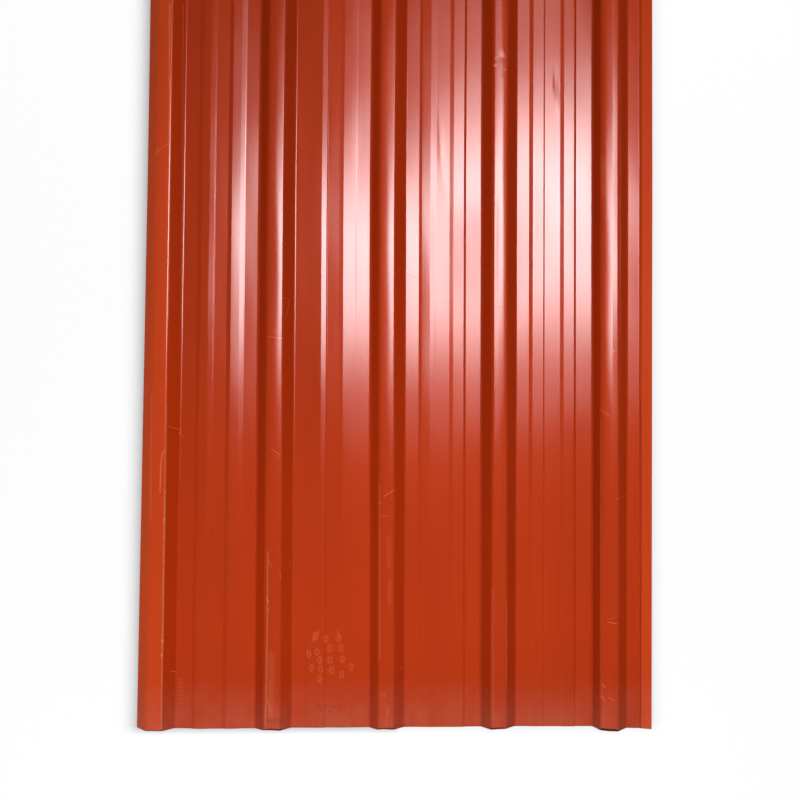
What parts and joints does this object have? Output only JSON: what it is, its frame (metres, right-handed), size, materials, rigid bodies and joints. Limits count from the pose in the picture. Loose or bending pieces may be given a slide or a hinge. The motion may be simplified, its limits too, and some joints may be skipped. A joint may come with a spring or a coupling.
{
  "type": "trapezoidal roofing sheet",
  "caption": "Box-profile corrugated steel sheet, painted terracotta, for cladding roofs and walls; its side ribs lap over the next sheet.",
  "frame": {"origin": "centre of the sheet's outline, in the plane that the undersides of its pans rest on", "axes": "+Y along the ribs, +X across them towards the underlap lip, +Z out of the painted weather side"},
  "size_m": [0.869, 3, 0.0261],
  "materials": {
    "painted_steel": "gloss"
  },
  "bodies": {
    "root": {"roofing_sheet": "painted_steel"}
  },
  "joints": []
}
